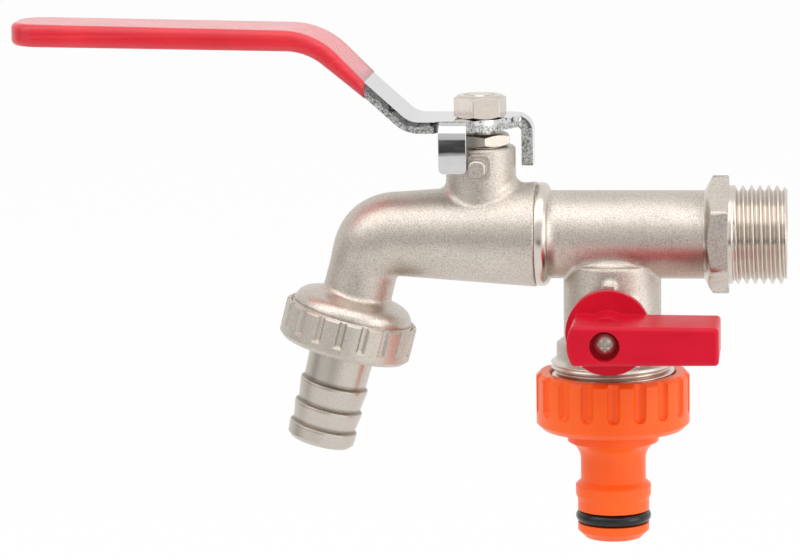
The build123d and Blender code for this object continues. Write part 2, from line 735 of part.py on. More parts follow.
# Side ball, closed at rest: its bore lies along X
with BuildPart() as side_ball:
    with Locations(side_origin):
        Sphere(side_ball_r)
        Cylinder(side_ball_bore_d / 2, side_ball_d * 2, rotation=(0, 90, 0), mode=Mode.SUBTRACT)
    with Locations((branch_x, -side_ball_r, side_z)):
        Box(side_tang_t + 2 * slot_gap, 2 * (side_tang_depth - side_bore_r + side_ball_r + slot_gap),
            side_ball_d, mode=Mode.SUBTRACT)
side_ball.part.label = "side_ball"

side_up = Plane(origin=side_origin, x_dir=(1, 0, 0), z_dir=(0, -1, 0))
side_down = Plane(origin=side_origin, x_dir=(1, 0, 0), z_dir=(0, 1, 0))
with BuildPart() as side_seat_upper:
    add(seat(side_up, branch_axis, side_seat_front, side_seat_back, side_seat_in, side_seat_r, side_ball_r))
side_seat_upper.part.label = "side_seat_upper"
with BuildPart() as side_seat_lower:
    add(seat(side_down, branch_axis, side_seat_front, side_seat_back, side_seat_in, side_seat_r, side_ball_r))
side_seat_lower.part.label = "side_seat_lower"

# Retainer, with two slots for its spanner
with BuildPart() as outlet_retainer:
    with BuildSketch(Plane.XY.offset(retainer_z0)):
        with Locations((branch_x, 0)):
            Circle(retainer_r)
            Circle(side_seat_in, mode=Mode.SUBTRACT)
    extrude(amount=retainer_t)
    with BuildSketch(Plane.XY.offset(retainer_z0)):
        with Locations((branch_x, 0)):
            Rectangle(retainer_r * 3, 1.6)
    extrude(amount=1.5, mode=Mode.SUBTRACT)
outlet_retainer.part.label = "outlet_retainer"

# Side stem with two ring grooves
groove_in = side_head_y1 + 0.5
groove_w = o_ring_t + 0.2
groove_out = groove_in + groove_w + 0.5
with BuildPart() as side_stem:
    with BuildSketch(side_plane):
        groove_r = side_stem_r - o_ring_t
        with BuildLine():
            Polyline((0, side_head_y0), (side_head_d / 2, side_head_y0), (side_head_d / 2, side_head_y1),
                     (side_stem_r, side_head_y1), (side_stem_r, groove_in), (groove_r, groove_in),
                     (groove_r, groove_in + groove_w), (side_stem_r, groove_in + groove_w),
                     (side_stem_r, groove_out), (groove_r, groove_out), (groove_r, groove_out + groove_w),
                     (side_stem_r, groove_out + groove_w), (side_stem_r, socket_y1 - 0.2),
                     (0, socket_y1 - 0.2), close=True)
        make_face()
    revolve(axis=side_axis)
    with BuildSketch(face_at(side_head_y0 - side_tang_depth)):
        Rectangle(side_tang_t, side_tang_w)
    extrude(amount=side_tang_depth)
    with BuildSketch(face_at(disc_y0 - 0.1)):
        Circle(side_stem_d)
        Rectangle(side_square, side_square, mode=Mode.SUBTRACT)
    extrude(amount=socket_y1, mode=Mode.SUBTRACT)
    with BuildSketch(face_at(socket_y1)):
        Circle(screw_d / 2)
    extrude(amount=-(screw_len - side_socket_web + 0.5), mode=Mode.SUBTRACT)
side_stem.part.label = "side_stem"


def stem_ring(start):
    """O-ring in a groove of the side stem."""
    with BuildPart() as ring:
        with BuildSketch(side_plane):
            with Locations((side_stem_r - o_ring_t / 2, start + groove_w / 2)):
                Circle(o_ring_t / 2)
        revolve(axis=side_axis)
    return ring.part


with BuildPart() as side_stem_o_ring_inner:
    add(stem_ring(groove_in))
side_stem_o_ring_inner.part.label = "side_stem_o_ring_inner"
with BuildPart() as side_stem_o_ring_outer:
    add(stem_ring(groove_out))
side_stem_o_ring_outer.part.label = "side_stem_o_ring_outer"

# Side lever
with BuildPart() as side_lever:
    with BuildSketch(face_at(disc_y0)):
        Circle(disc_r)
    extrude(amount=disc_t)
    with BuildSketch(face_at(disc_y1 - 0.2)):
        bar_end_x = math.sqrt(bar_back ** 2 - (bar_h / 2) ** 2)
        with BuildLine():
            ThreePointArc((-bar_end_x, bar_h / 2), (-bar_back, 0), (-bar_end_x, -bar_h / 2))
            Polyline((-bar_end_x, -bar_h / 2), (bar_reach, -bar_tip_h / 2), (bar_reach, bar_tip_h / 2),
                     (-bar_end_x, bar_h / 2))
        outline = make_face()
        fillet(outline.vertices(), radius=bar_round)
    extrude(amount=lever_face_y - disc_y1 + 0.2)
    front = side_lever.faces().sort_by(Axis.Y)[0].edges()
    fillet(front, radius=bar_round)
    with BuildSketch(face_at(disc_y1 - 0.2)):
        Circle(hub_d / 2)
    extrude(amount=hub_len + 0.2)
    # Skirt with a gap a quarter turn long for the stop peg
    with BuildSketch(face_at(skirt_y0)):
        Circle(disc_r)
        Circle(side_boss_d / 2 + stop_gap, mode=Mode.SUBTRACT)
    extrude(amount=skirt_t)
    with BuildSketch(face_at(skirt_y0)):
        half = math.asin((peg_d / 2 + stop_gap) / (disc_r * 0.85))
        edge = 3 * disc_r
        with BuildLine():
            Polyline((0, 0), (edge * math.cos(half), -edge * math.sin(half)), (edge, edge),
                     (-edge * math.sin(half), edge * math.cos(half)), close=True)
        make_face()
    extrude(amount=skirt_t, mode=Mode.SUBTRACT)
    with BuildSketch(face_at(disc_y0)):
        Rectangle(side_square + 0.1, side_square + 0.1)
        Circle(side_stem_r + shaft_gap, mode=Mode.INTERSECT)
    extrude(amount=socket_y1 - disc_y0, mode=Mode.SUBTRACT)
    with BuildSketch(face_at(lever_face_y)):
        Circle(screw_hole_d / 2)
    extrude(amount=-screw_hole_t, mode=Mode.SUBTRACT)
    with BuildSketch(face_at(lever_face_y)):
        Circle(screw_d / 2 + 0.15)
    extrude(amount=-(screw_hole_t + side_socket_web + 1), mode=Mode.SUBTRACT)
side_lever.part.label = "side_lever"

# Side lever screw, pan head with a cross recess
head_y0 = lever_face_y - screw_hole_t
with BuildPart() as side_lever_screw:
    with BuildSketch(side_plane):
        with BuildLine():
            head_top = head_y0 + screw_head_h
            crown = RadiusArc((0, head_top), (screw_head_d / 2, head_top - 0.7), 4.2)
            Polyline(crown @ 1, (screw_head_d / 2, head_y0), (screw_d / 2, head_y0),
                     (screw_d / 2, head_y0 - screw_len + 0.6), (screw_d / 2 - 0.6, head_y0 - screw_len),
                     (0, head_y0 - screw_len), crown @ 0)
        make_face()
    revolve(axis=side_axis)
    with BuildSketch(face_at(head_y0 + screw_head_h)):
        Rectangle(screw_head_d * 0.62, 0.7)
        Rectangle(0.7, screw_head_d * 0.62)
    extrude(amount=-1.1, mode=Mode.SUBTRACT)
side_lever_screw.part.label = "side_lever_screw"

# Hose connector: nut and spigot in one moulding
connector_r = connector_d / 2
floor_z = branch_end_z - connector_washer_t
connector_z = floor_z - connector_floor
flare_z = connector_z - flare_len
neck_z = flare_z - flare_taper
ring_z = neck_z - neck_len
plug_z = ring_z - 2 * collar_ring_up - collar_ring_len
groove_z = plug_z - plug_len + collar_ring_up
groove_end_z = groove_z - plug_ring_t - 0.2
tip_z = groove_end_z - tip_len
plug_r = plug_d / 2
ring_mid_r = collar_ring_d / 2 - plug_ring_t / 2
with BuildPart() as flute_cut:
    with BuildSketch(Plane.XZ):
        with BuildLine():
            wall = Polyline((0, flute_r), (flute_r, flute_r), (flute_r, flute_r - flute_len))
            nose = RadiusArc(wall @ 1, (0, -flute_len), flute_r)
            Line(nose @ 1, wall @ 0)
        make_face()
    revolve(axis=Axis.Z)

with BuildPart() as hose_connector:
    with BuildSketch(branch_plane):
        groove_r = collar_ring_d / 2 - plug_ring_t
        bore_r = connector_bore_d / 2
        with BuildLine():
            top = Polyline((thread_r + screw_gap, floor_z), (thread_r + screw_gap, connector_top_z - 0.6),
                           (connector_mouth_d / 2, connector_top_z), (connector_r - 0.8, connector_top_z),
                           (connector_r, connector_top_z - 0.8), (connector_r, connector_z + 1.2),
                           (connector_r - 1.2, connector_z), (flare_d / 2, connector_z),
                           (flare_d / 2, flare_z))
            taper = TangentArc((neck_d / 2, neck_z), top @ 1, tangent=(0, 1))
            Polyline(taper @ 0, (neck_d / 2, ring_z), (collar_ring_d / 2, ring_z - collar_ring_up),
                     (collar_ring_d / 2, ring_z - collar_ring_up - collar_ring_len), (plug_r, plug_z),
                     (plug_r, groove_z), (groove_r, groove_z), (groove_r, groove_end_z),
                     (plug_r, groove_end_z), (plug_r, tip_z + 1.6), (plug_r - 1.6, tip_z),
                     (bore_r, tip_z), (bore_r, floor_z), top @ 0)
        make_face()
    revolve(axis=branch_axis)
    with Locations((branch_x, 0, connector_top_z)):
        with PolarLocations(connector_r + flute_r * 0.25, flute_n, start_angle=-86.6):
            add(flute_cut.part, mode=Mode.SUBTRACT)
hose_connector.part.label = "hose_connector"

with BuildPart() as connector_washer:
    with BuildSketch(Plane.XY.offset(floor_z)):
        with Locations((branch_x, 0)):
            Circle(thread_r - 0.3)
            Circle(connector_bore_d / 2 + 1, mode=Mode.SUBTRACT)
    extrude(amount=connector_washer_t)
connector_washer.part.label = "connector_washer"

with BuildPart() as connector_o_ring:
    with BuildSketch(branch_plane):
        with Locations((ring_mid_r, (groove_z + groove_end_z) / 2)):
            Circle(plug_ring_t / 2)
    revolve(axis=branch_axis)
connector_o_ring.part.label = "connector_o_ring"

os.makedirs("parts", exist_ok=True)
export_step(spout_body.part, "parts/spout_body.step")
export_step(inlet_tail.part, "parts/inlet_tail.step")
export_step(main_ball.part, "parts/main_ball.step")
export_step(ball_seat_inlet.part, "parts/ball_seat_inlet.step")
export_step(ball_seat_outlet.part, "parts/ball_seat_outlet.step")
export_step(main_stem.part, "parts/main_stem.step")
export_step(stem_thrust_washer.part, "parts/stem_thrust_washer.step")
export_step(stem_packing.part, "parts/stem_packing.step")
export_step(gland_nut.part, "parts/gland_nut.step")
export_step(lever_arm.part, "parts/lever_arm.step")
export_step(lever_grip.part, "parts/lever_grip.step")
export_step(lever_nut.part, "parts/lever_nut.step")
export_step(union_nut.part, "parts/union_nut.step")
export_step(hose_tail.part, "parts/hose_tail.step")
export_step(hose_tail_washer.part, "parts/hose_tail_washer.step")
export_step(side_ball.part, "parts/side_ball.step")
export_step(side_seat_upper.part, "parts/side_seat_upper.step")
export_step(side_seat_lower.part, "parts/side_seat_lower.step")
export_step(outlet_retainer.part, "parts/outlet_retainer.step")
export_step(side_stem.part, "parts/side_stem.step")
export_step(side_stem_o_ring_inner.part, "parts/side_stem_o_ring_inner.step")
export_step(side_stem_o_ring_outer.part, "parts/side_stem_o_ring_outer.step")
export_step(side_lever.part, "parts/side_lever.step")
export_step(side_lever_screw.part, "parts/side_lever_screw.step")
export_step(hose_connector.part, "parts/hose_connector.step")
export_step(connector_washer.part, "parts/connector_washer.step")
export_step(connector_o_ring.part, "parts/connector_o_ring.step")
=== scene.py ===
import json
import math

import bmesh
import bpy
from mathutils import Matrix, Vector

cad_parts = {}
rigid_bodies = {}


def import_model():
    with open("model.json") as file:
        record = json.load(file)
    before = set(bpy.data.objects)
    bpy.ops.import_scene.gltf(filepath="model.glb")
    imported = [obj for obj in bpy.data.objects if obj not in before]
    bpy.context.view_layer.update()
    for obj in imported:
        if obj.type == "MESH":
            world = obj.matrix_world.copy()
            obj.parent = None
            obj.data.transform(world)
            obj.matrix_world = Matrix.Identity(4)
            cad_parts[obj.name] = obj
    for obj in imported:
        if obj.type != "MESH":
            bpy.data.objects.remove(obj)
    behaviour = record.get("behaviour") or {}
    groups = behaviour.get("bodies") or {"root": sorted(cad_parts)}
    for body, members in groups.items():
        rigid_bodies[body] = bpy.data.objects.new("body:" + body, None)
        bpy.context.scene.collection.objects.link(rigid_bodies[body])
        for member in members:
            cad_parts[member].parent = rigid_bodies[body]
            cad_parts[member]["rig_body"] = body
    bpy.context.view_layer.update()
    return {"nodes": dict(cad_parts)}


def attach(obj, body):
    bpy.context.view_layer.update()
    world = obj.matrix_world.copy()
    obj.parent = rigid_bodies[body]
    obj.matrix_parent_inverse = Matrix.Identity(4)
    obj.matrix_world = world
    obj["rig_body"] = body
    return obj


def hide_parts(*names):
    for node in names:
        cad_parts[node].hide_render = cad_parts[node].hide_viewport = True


# Looks of the garden tap: metals, plastics, cut threads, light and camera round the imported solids.

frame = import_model()
nodes = frame["nodes"]
scene = bpy.context.scene
MM = 0.001

# Places shared with the solids, in metres
LEG_TURN = math.radians(75)
LEG_DIR = Vector((-math.cos(LEG_TURN), 0, -math.sin(LEG_TURN)))
LEG_ORIGIN = Vector((-78.5104, 0, -7.99)) * MM
BRANCH_X = -24.9 * MM
SEAM_X = -41.0 * MM
COLLAR_X = -38.4 * MM
BELL_RUN = 4.3 * MM
BARB_CORNERS = (25.0 * MM, 30.2 * MM, 34.8 * MM)
PITCH = 1.814 * MM  # 14 threads to the inch


# Node helpers

def new_material(name):
    mat = bpy.data.materials.new(name)
    mat.use_nodes = True
    tree = mat.node_tree
    return mat, tree, tree.nodes["Principled BSDF"]


def add(tree, kind, **settings):
    node = tree.nodes.new(kind)
    for key, value in settings.items():
        setattr(node, key, value)
    return node


def link(tree, source, target):
    tree.links.new(source, target)


def coords(tree):
    """Object coordinates, which are metres in the part's frame."""
    return add(tree, "ShaderNodeTexCoord").outputs["Object"]


def noise(tree, vector, scale, detail=2.0, rough=0.5, stretch=None):
    node = add(tree, "ShaderNodeTexNoise")
    node.inputs["Scale"].default_value = scale
    node.inputs["Detail"].default_value = detail
    node.inputs["Roughness"].default_value = rough
    if stretch:
        mapping = add(tree, "ShaderNodeMapping")
        mapping.inputs["Scale"].default_value = stretch
        link(tree, vector, mapping.inputs["Vector"])
        vector = mapping.outputs["Vector"]
    link(tree, vector, node.inputs["Vector"])
    return node.outputs["Fac"]


def remap(tree, value, low, high, to_low, to_high, smooth=False):
    node = add(tree, "ShaderNodeMapRange")
    node.interpolation_type = "SMOOTHSTEP" if smooth else "LINEAR"
    node.inputs["From Min"].default_value = low
    node.inputs["From Max"].default_value = high
    node.inputs["To Min"].default_value = to_low
    node.inputs["To Max"].default_value = to_high
    link(tree, value, node.inputs["Value"])
    return node.outputs["Result"]


def math_node(tree, operation, a, b):
    node = add(tree, "ShaderNodeMath", operation=operation)
    for socket, value in zip(node.inputs, (a, b)):
        if isinstance(value, (int, float)):
            socket.default_value = value
        else:
            link(tree, value, socket)
    return node.outputs[0]


def times(tree, first, *others):
    """Product of values and sockets."""
    for other in others:
        first = math_node(tree, "MULTIPLY", first, other)
    return first


def mix_colour(tree, factor, a, b):
    node = add(tree, "ShaderNodeMix", data_type="RGBA")
    link(tree, factor, node.inputs[0])
    for socket, value in ((node.inputs[6], a), (node.inputs[7], b)):
        if isinstance(value, tuple):
            socket.default_value = (*value, 1)
        else:
            link(tree, value, socket)
    return node.outputs[2]


def bump(tree, shader, layers, edge=0.0):
    """Stack bump layers of (height, depth in metres, strength) over normals rounded at the edges."""
    normal = None
    if edge:
        bevel = add(tree, "ShaderNodeBevel", samples=8)
        if isinstance(edge, (int, float)):
            bevel.inputs["Radius"].default_value = edge
        else:
            link(tree, edge, bevel.inputs["Radius"])
        normal = bevel.outputs["Normal"]
    for height, depth, strength in layers:
        node = add(tree, "ShaderNodeBump")
        node.inputs["Distance"].default_value = depth
        if isinstance(strength, (int, float)):
            node.inputs["Strength"].default_value = strength
        else:
            link(tree, strength, node.inputs["Strength"])
        link(tree, height, node.inputs["Height"])
        if normal:
            link(tree, normal, node.inputs["Normal"])
        normal = node.outputs["Normal"]
    link(tree, normal, shader.inputs["Normal"])


def along(tree, vector, origin, direction):
    """Run of a point along a direction from an origin, in metres."""
    shift = add(tree, "ShaderNodeVectorMath", operation="SUBTRACT")
    shift.inputs[1].default_value = origin
    link(tree, vector, shift.inputs[0])
    dot = add(tree, "ShaderNodeVectorMath", operation="DOT_PRODUCT")
    dot.inputs[1].default_value = direction
    link(tree, shift.outputs["Vector"], dot.inputs[0])
    return dot.outputs["Value"]


def mirrored_rays(tree, path):
    """One for rays that metal or glass sends on."""
    return math_node(tree, "MAXIMUM", path.outputs["Is Glossy Ray"], path.outputs["Is Transmission Ray"])


# Materials

# Edges rounded by shading, in metres; the join of the branch fades out over these distances
EDGE = 0.00018
JOIN_EDGE = 0.0013
JOIN_HALF_WIDTH = (0.0125, 0.0145)
JOIN_LOW_Z = (-0.0245, -0.0235)
JOIN_FRONT_Y = (-0.0109, -0.0106)

# Noise scales of the plated metals, per metre
BLAST_SCALE = 4500
CLOUD_SCALE = 140
TURNING_SCALE = 5200

# What is left of tone, grain and roughness where a casting is machined
MACHINED_TONE = 0.8
MACHINED_GRAIN = 0.1
MACHINED_ROUGH = 0.62

# Where the tail is machined, in metres
HEX_CONE_X = (-0.0058, -0.0056)
BRANCH_THREAD_Z = (-0.0262, -0.0268)

# Front tab of the lever: its chrome is uneven from here outwards, in metres
TAB_FRONT = (0.0084, 0.0092)


def branch_join(tree, at):
    """Edge radius: wide where the branch runs into the tube, small elsewhere."""
    x = along(tree, at, (BRANCH_X, 0, 0), (1, 0, 0))
    z = along(tree, at, (0, 0, 0), (0, 0, 1))
    y = along(tree, at, (0, 0, 0), (0, 1, 0))
    reach = times(tree, remap(tree, math_node(tree, "ABSOLUTE", x, 0), *JOIN_HALF_WIDTH, 1, 0),
                  remap(tree, z, *JOIN_LOW_Z, 0, 1),
                  remap(tree, y, *JOIN_FRONT_Y, 0, 1))
    return remap(tree, reach, 0, 1, EDGE, JOIN_EDGE)


def plated_metal(name, colour, dark, rough, grain, smooth=None, rings=None, joins=None, painted_shade=None):
    """Satin plate over a blasted casting.

    smooth masks machined places, rings is a turning axis, joins gives the edges' radius, and the last
    argument masks places darkened by painted shade.
    """
    mat, tree, shader = new_material(name)
    at = coords(tree)
    fine = noise(tree, at, BLAST_SCALE, 3, 0.62)
    broad = noise(tree, at, CLOUD_SCALE, 2)
    tone = times(tree, remap(tree, fine, 0.33, 0.56, 0.0, 1.0), remap(tree, broad, 0.3, 0.7, 0.82, 1.0))
    shader.inputs["Metallic"].default_value = 1.0
    strength = grain
    roughness = remap(tree, fine, 0.3, 0.7, rough + 0.06, rough - 0.05)
    if smooth is not None:
        mask = smooth(tree, at)
        tone = math_node(tree, "MAXIMUM", tone, times(tree, mask, MACHINED_TONE))
        strength = remap(tree, mask, 0, 1, grain, grain * MACHINED_GRAIN)
        roughness = times(tree, roughness, remap(tree, mask, 0, 1, 1.0, MACHINED_ROUGH))
    paint = mix_colour(tree, tone, dark, colour)
    # Where a mask is given, the colour is darkened there with painted shade
    if painted_shade is not None:
        paint = mix_colour(tree, painted_shade(tree, at), paint, BARB_SHADE_COLOUR)
    link(tree, paint, shader.inputs["Base Color"])
    link(tree, roughness, shader.inputs["Roughness"])
    layers = [(broad, 0.00012, 0.2), (fine, 0.00007, strength)]
    if rings is not None:
        wave = add(tree, "ShaderNodeTexNoise", noise_dimensions="1D")
        wave.inputs["Scale"].default_value = TURNING_SCALE
        wave.inputs["Detail"].default_value = 2
        link(tree, along(tree, at, *rings), wave.inputs["W"])
        layers.append((wave.outputs["Fac"], 0.00003, 0.12))
    bump(tree, shader, layers, joins(tree, at) if joins else EDGE)
    return mat


def machined_tail(tree, at):
    """Thread, hexagon's cone, collar at the seam and branch thread."""
    x = along(tree, at, (0, 0, 0), (1, 0, 0))
    z = along(tree, at, (0, 0, 0), (0, 0, 1))
    thread = remap(tree, x, -0.0002, 0.0, 0, 1)
    collar = times(tree, remap(tree, x, SEAM_X - 0.0003, SEAM_X + 0.0001, 0, 1),
                   remap(tree, x, COLLAR_X, COLLAR_X + 0.0006, 1, 0))
    facing = add(tree, "ShaderNodeVectorMath", operation="DOT_PRODUCT")
    facing.inputs[1].default_value = (-1, 0, 0)
    link(tree, add(tree, "ShaderNodeNewGeometry").outputs["True Normal"], facing.inputs[0])
    cone = times(tree, remap(tree, facing.outputs["Value"], 0.2, 0.4, 0, 1),
                 remap(tree, x, *HEX_CONE_X, 0, 1))
    low = remap(tree, z, *BRANCH_THREAD_Z, 0, 1)
    mask = thread
    for other in (collar, cone, low):
        mask = math_node(tree, "MAXIMUM", mask, other)
    return mask


def machined_bell(tree, at):
    """Turned bell at the foot of the spout's leg."""
    run = along(tree, at, tuple(LEG_ORIGIN), tuple(LEG_DIR))
    return remap(tree, run, BELL_RUN, BELL_RUN + 0.0016, 0, 0.3, smooth=True)


def barb_corner_shade(tree, at):
    """Painted shade in the corners under the barbs' ledges."""
    run = along(tree, at, tuple(LEG_ORIGIN), tuple(LEG_DIR))
    mask = None
    for corner in BARB_CORNERS:
        band = times(tree, remap(tree, run, corner - 0.0009, corner, 0, 0.8, smooth=True),
                     remap(tree, run, corner + 0.00025, corner + 0.0005, 1, 0, smooth=True))
        mask = band if mask is None else math_node(tree, "MAXIMUM", mask, band)
    return mask


# Colour of the painted shade in the corners under the barbs' ledges
BARB_SHADE_COLOUR = (0.20, 0.165, 0.13)
WARM = (0.735, 0.672, 0.608)
WARM_DARK = (0.38, 0.335, 0.285)
body_plate = plated_metal("body_plate", WARM, WARM_DARK, 0.37, 0.75, machined_bell)
tail_plate = plated_metal("tail_plate", WARM, WARM_DARK, 0.37, 0.75, machined_tail, joins=branch_join)
nut_plate = plated_metal("nut_plate", (0.70, 0.65, 0.58), (0.47, 0.43, 0.375), 0.40, 0.6)
# The turned tail gets painted shade in the corners under its barbs
turned_plate = plated_metal("turned_plate", (0.64, 0.59, 0.53), (0.52, 0.475, 0.42), 0.30, 0.05,
                            rings=(tuple(LEG_ORIGIN), tuple(LEG_DIR)), painted_shade=barb_corner_shade)
fastener_plate = plated_metal("fastener_plate", (0.70, 0.635, 0.575), (0.56, 0.50, 0.45), 0.15, 0.08)
gland_plate = plated_metal("gland_plate", (0.69, 0.635, 0.57), (0.52, 0.47, 0.41), 0.33, 0.3)


def chrome(name):
    """Bright plate with a faint haze and fine streaks, uneven on the front tab."""
    mat, tree, shader = new_material(name)
    at = coords(tree)
    streak = noise(tree, at, 900, 3, 0.6, (0.15, 1, 1))
    haze = noise(tree, at, 60, 2)
    tint = mix_colour(tree, haze, (0.60, 0.605, 0.61), (0.67, 0.675, 0.68))
    link(tree, tint, shader.inputs["Base Color"])
    shader.inputs["Metallic"].default_value = 1.0
    link(tree, remap(tree, streak, 0.35, 0.7, 0.06, 0.13), shader.inputs["Roughness"])
    dent = noise(tree, at, 190, 1, 0.5)
    on_front_tab = remap(tree, along(tree, at, (0, 0, 0), (0, -1, 0)), *TAB_FRONT, 0, 0.3)
    bump(tree, shader, [(haze, 0.0003, 0.2), (streak, 0.00002, 0.1), (dent, 0.0003, on_front_tab)], 0.0003)
    return mat


def sheared_edge(name):
    """Cut edge of the strip: burnished along its upper side, torn and finely mottled below."""
    mat, tree, shader = new_material(name)
    at = coords(tree)
    torn = noise(tree, at, 2600, 4, 0.65)
    pits = noise(tree, at, 6000, 2, 0.6)
    level = add(tree, "ShaderNodeAttribute", attribute_name="upper").outputs["Fac"]
    wander = math_node(tree, "ADD", level, remap(tree, noise(tree, at, 420, 2), 0.3, 0.7, -0.16, 0.16))
    bright = remap(tree, wander, 0.5, 0.62, 0, 1)
    blotch = remap(tree, noise(tree, at, 800, 3, 0.6), 0.55, 0.62, 0, 1)
    band = mix_colour(tree, blotch, (0.70, 0.705, 0.71), (0.10, 0.10, 0.105))
    mottle = mix_colour(tree, remap(tree, torn, 0.36, 0.60, 0, 1), (0.13, 0.135, 0.13), (0.70, 0.71, 0.70))
    link(tree, mix_colour(tree, bright, mottle, band), shader.inputs["Base Color"])
    shader.inputs["Metallic"].default_value = 1.0
    rough = remap(tree, pits, 0.3, 0.7, 0.24, 0.44)
    rough = times(tree, rough, remap(tree, bright, 0, 1, 1.0, 0.35))
    link(tree, rough, shader.inputs["Roughness"])
    strength = remap(tree, bright, 0, 1, 0.55, 0.08)
    bump(tree, shader, [(torn, 0.0002, strength), (pits, 0.00006, strength)])
    return mat


def plastic(name, colour, deep, rough, wave, speck, coat=0.0, shine=0.5, edge=0.0, streak=0.0):
    """Moulded or dipped plastic: wave and streak are bump depths, edge is rounded by shading."""
    mat, tree, shader = new_material(name)
    at = coords(tree)
    cloud = noise(tree, at, 90, 3)
    fine = noise(tree, at, speck, 2, 0.6)
    tint = mix_colour(tree, remap(tree, cloud, 0.3, 0.7, 0, 1), deep, colour)
    link(tree, tint, shader.inputs["Base Color"])
    link(tree, remap(tree, fine, 0.3, 0.7, rough - 0.03, rough + 0.05), shader.inputs["Roughness"])
    shader.inputs["IOR"].default_value = 1.5
    shader.inputs["Specular IOR Level"].default_value = shine
    shader.inputs["Coat Weight"].default_value = coat
    shader.inputs["Coat Roughness"].default_value = 0.06
    layers = [(cloud, wave, 0.3), (fine, 0.00003, 0.15)]
    if streak:
        layers.append((noise(tree, at, 700, 2, 0.5, (0.02, 1, 1)), streak, 0.35))
    bump(tree, shader, layers, edge)
    return mat


lever_chrome = chrome("lever_chrome")
lever_edge = sheared_edge("lever_edge")
red_dip = plastic("red_dip", (0.74, 0.022, 0.038), (0.64, 0.014, 0.028), 0.16, 0.0006, 1500, 0.3,
                  edge=0.0023, streak=0.0005)
red_moulding = plastic("red_moulding", (0.63, 0.004, 0.026), (0.55, 0.003, 0.020), 0.32, 0.0002, 2600,
                       shine=0.22, edge=0.00035)
orange_moulding = plastic("orange_moulding", (1.0, 0.135, 0.010), (0.95, 0.112, 0.007), 0.30, 0.0002, 2600,
                          shine=0.35, edge=0.0004)
black_rubber = plastic("black_rubber", (0.009, 0.0095, 0.010), (0.006, 0.006, 0.0065), 0.18, 0.0002, 3000,
                       shine=0.4)
seat_plastic = plastic("seat_plastic", (0.86, 0.86, 0.83), (0.78, 0.78, 0.75), 0.4, 0.0001, 2600)
plain_brass = plated_metal("plain_brass", (0.83, 0.62, 0.29), (0.62, 0.44, 0.18), 0.3, 0.15)
ball_plate = plated_metal("ball_plate", (0.85, 0.85, 0.85), (0.75, 0.75, 0.75), 0.12, 0.03)

for node, mat in {
    "spout_body": body_plate, "inlet_tail": tail_plate, "union_nut": nut_plate, "gland_nut": gland_plate,
    "hose_tail": turned_plate, "lever_nut": fastener_plate, "side_lever_screw": gland_plate,
    "lever_arm": lever_chrome, "lever_grip": red_dip, "side_lever": red_moulding,
    "hose_connector": orange_moulding, "connector_o_ring": black_rubber, "hose_tail_washer": black_rubber,
    "connector_washer": black_rubber, "side_stem_o_ring_inner": black_rubber,
    "side_stem_o_ring_outer": black_rubber, "ball_seat_inlet": seat_plastic, "ball_seat_outlet": seat_plastic,
    "stem_packing": seat_plastic, "stem_thrust_washer": seat_plastic, "side_seat_upper": seat_plastic,
    "side_seat_lower": seat_plastic, "main_stem": fastener_plate, "side_stem": plain_brass,
    "outlet_retainer": plain_brass, "main_ball": ball_plate, "side_ball": ball_plate,
}.items():
    nodes[node].data.materials.clear()
    nodes[node].data.materials.append(mat)


# Meshes

def copy_of(node, name):
    """A copy of a node's mesh as a piece that stands for the node."""
    mesh = nodes[node].data.copy()
    mesh.name = name
    piece = bpy.data.objects.new(name, mesh)
    scene.collection.objects.link(piece)
    return piece


def stand_in(piece, node):
    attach(piece, nodes[node]["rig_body"])
    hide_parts(node)


SHARP_ANGLE = math.radians(32)
MERGE = 1e-7
THREAD_SIDES = 128
THREAD_STEPS = 22  # along one pitch


def shade(mesh):
    """Smooth shading that keeps the sharp edges."""
    for polygon in mesh.polygons:
        polygon.use_smooth = True
    mesh.set_sharp_from_angle(angle=SHARP_ANGLE)


def thread_radius(phase, crest):
    """Whitworth form: rounded crest and root, 55 degree flanks."""
    depth = 0.64 * PITCH
    share = abs((phase % 1.0) - 0.5) * 2
    flank = min(max((share - 0.14) / 0.72, 0), 1)
    return crest - depth * (flank * flank * (3 - 2 * flank) * 0.35 + flank * 0.65)


def cut_thread(mesh, axis_origin, axis_dir, start, end, crest, chamfer, plain, inner):
    """Swap the plain thread wall between start and end, outside the inner radius, for a helical one.

    The first plain length has no thread, and the far end has a chamfer.
    """
    bm = bmesh.new()
    bm.from_mesh(mesh)
    bmesh.ops.remove_doubles(bm, verts=bm.verts, dist=MERGE)
    side = axis_dir.orthogonal().normalized()
    across = axis_dir.cross(side)

    def place(v):
        d = v.co - axis_origin
        run = d.dot(axis_dir)
        return run, (d - axis_dir * run).length

    doomed = []
    for face in bm.faces:
        spots = [place(v) for v in face.verts]
        if all(r > inner and start - 1e-6 < run < end + 1e-6 for run, r in spots):
            if max(run for run, r in spots) > start + 1e-5 and min(run for run, r in spots) < end - 1e-5:
                doomed.append(face)
    bmesh.ops.delete(bm, geom=doomed, context="FACES")
    steps = int((end - start) / PITCH * THREAD_STEPS)
    rings = []
    for i in range(steps + 1):
        run = start + (end - start) * i / steps
        ring = []
        for k in range(THREAD_SIDES):
            angle = 2 * math.pi * k / THREAD_SIDES
            cut = thread_radius((run - start) / PITCH - k / THREAD_SIDES, crest)
            blend = min(max((run - start - plain) / (0.5 * PITCH), 0), 1)
            radius = crest + (cut - crest) * blend
            radius = min(radius, crest - chamfer + max(end - run, 0))
            ring.append(bm.verts.new(axis_origin + axis_dir * run
                                     + (side * math.cos(angle) + across * math.sin(angle)) * radius))
        rings.append(ring)
    for low, high in zip(rings, rings[1:]):
        for k in range(THREAD_SIDES):
            after = (k + 1) % THREAD_SIDES
            bm.faces.new((low[k], low[after], high[after], high[k]))
    bm.normal_update()
    bm.to_mesh(mesh)
    bm.free()


